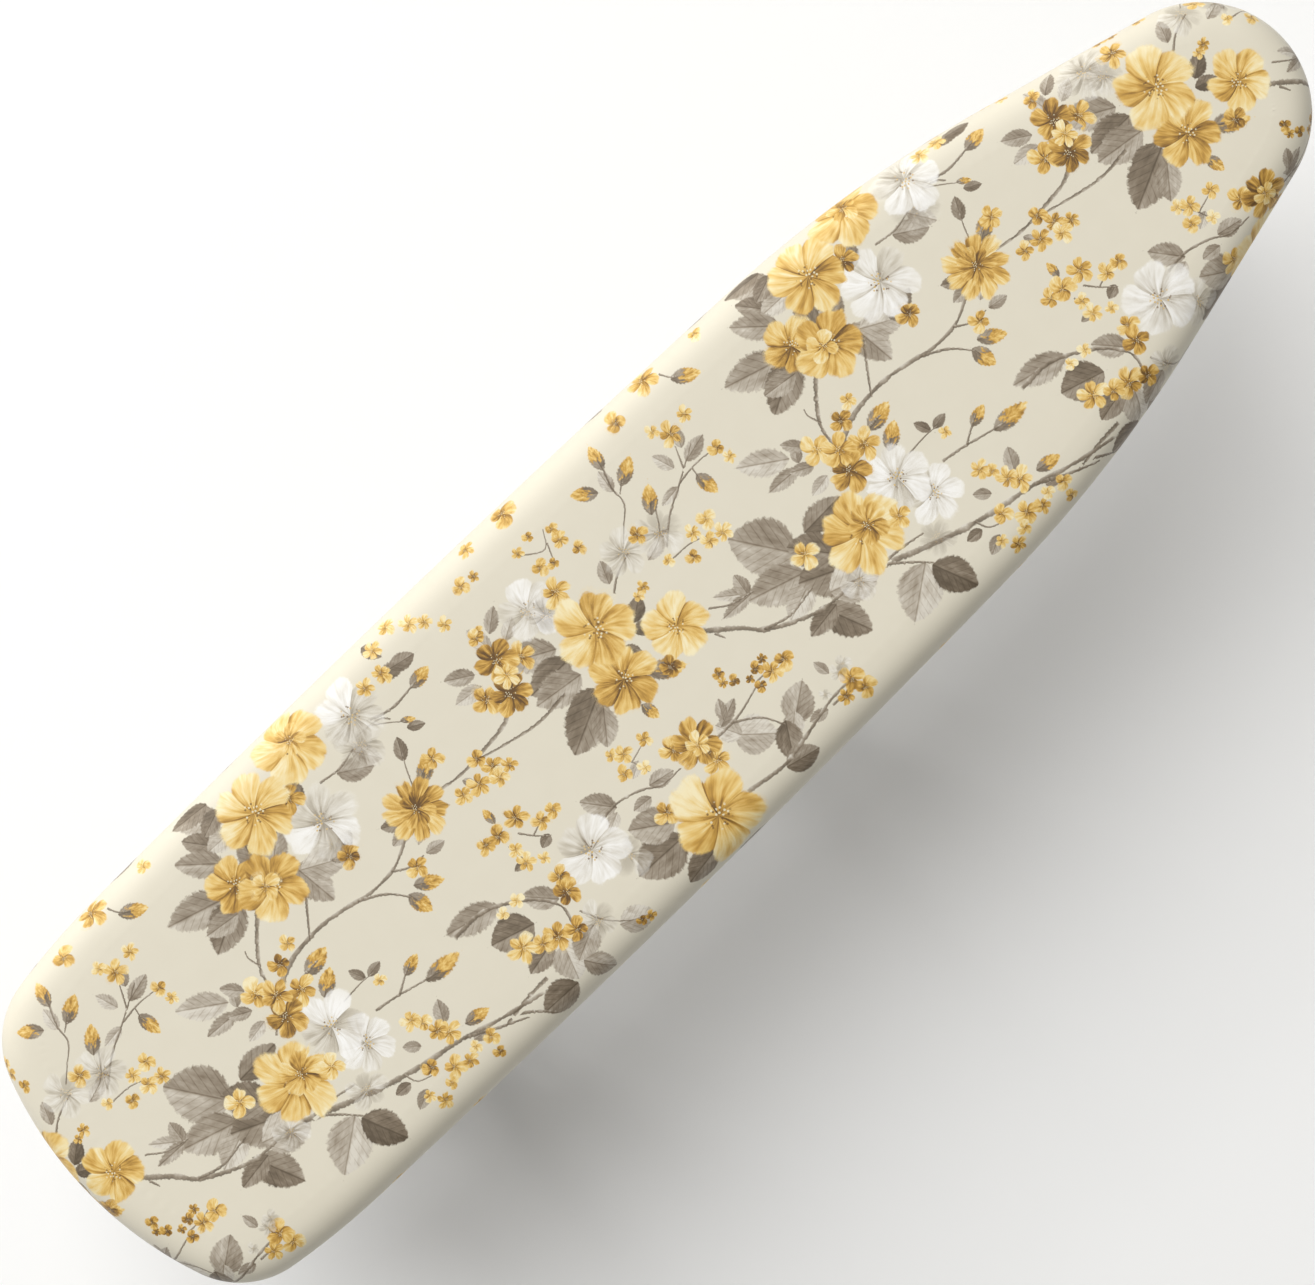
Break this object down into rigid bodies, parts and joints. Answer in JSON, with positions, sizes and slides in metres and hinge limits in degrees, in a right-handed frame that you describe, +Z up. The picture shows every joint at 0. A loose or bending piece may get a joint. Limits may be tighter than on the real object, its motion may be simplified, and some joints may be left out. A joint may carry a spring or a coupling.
{
  "type": "sleeve ironing board",
  "caption": "Small padded board with a tapering nose and a floral cotton cover, held level over a wire base by two swinging arms, for pressing sleeves; it folds flat.",
  "frame": {"origin": "on the table plane, under the middle of the board's length and width", "axes": "+X along the board towards its nose, +Y to the left seen from the square end, +Z up"},
  "size_m": [0.519, 0.1302, 0.1492],
  "materials": {
    "printed_cotton": "plain-weave cotton, cream, printed with a floral pattern",
    "binding_tape": "bias-cut cotton tape",
    "elastic": "braided elastic cord",
    "foam": "open-cell foam sheet",
    "felt": "needled felt",
    "mesh_steel": "satin grey coated perforated sheet",
    "coated_steel": "satin silver-grey powder coat",
    "zinc_steel": "zinc-plated pressed steel",
    "nylon": "natural nylon",
    "knob_plastic": "fine-textured moulded plastic",
    "foot_rubber": "moulded rubber"
  },
  "bodies": {
    "base": {"base_loop": "coated_steel", "rear_base_plate": "zinc_steel", "front_base_plate": "zinc_steel", "rear_base_clips": "zinc_steel", "front_base_clips": "zinc_steel", "rear_base_bushes": "nylon", "front_base_bushes": "nylon", "base_rivets": "zinc_steel", "stop_brackets": "zinc_steel", "stop_buffers": "foot_rubber", "clamp_block": "knob_plastic", "lock_nut": "zinc_steel", "foot_rear_left": "foot_rubber", "foot_rear_right": "foot_rubber", "foot_front_left": "foot_rubber", "foot_front_right": "foot_rubber"},
    "rear_arm": {"rear_arm": "coated_steel"},
    "board": {"cover": "printed_cotton", "hem_binding": "binding_tape", "hem_elastic": "elastic", "foam_layer": "foam", "felt_pad": "felt", "mesh_top": "mesh_steel", "rim_frame": "coated_steel", "nose_rail": "coated_steel", "rear_top_plate": "zinc_steel", "front_top_plate": "zinc_steel", "rear_top_clips": "zinc_steel", "front_top_clips": "zinc_steel", "rear_top_bushes": "nylon", "front_top_bushes": "nylon", "board_rivets": "zinc_steel"},
    "front_arm": {"front_arm": "coated_steel"},
    "lock": {"lock_knob": "knob_plastic", "lock_stud": "zinc_steel"}
  },
  "joints": [
    {"name": "fold", "type": "hinge", "parent": "base", "child": "rear_arm", "pos_m": [-0.15399, 0, 0.0195], "axis": [0, 1, 0], "range_deg": [0, 86]},
    {"name": "board_level", "type": "hinge", "parent": "rear_arm", "child": "board", "pos_m": [-0.17, 0, 0.13338], "axis": [0, 1, 0], "range_deg": [-86, 0]},
    {"name": "front_fold", "type": "hinge", "parent": "base", "child": "front_arm", "pos_m": [-0.004, 0, 0.0195], "axis": [0, 1, 0], "range_deg": [0, 86]},
    {"name": "knob_turn", "type": "hinge", "parent": "base", "child": "lock", "pos_m": [-0.166, 0, 0.0343], "axis": [0, 0, 1], "range_deg": [0, 270]}
  ],
  "couplings": [
    {"joint": "board_level", "follows": "fold", "ratio": -1},
    {"joint": "front_fold", "follows": "fold", "ratio": 1}
  ]
}
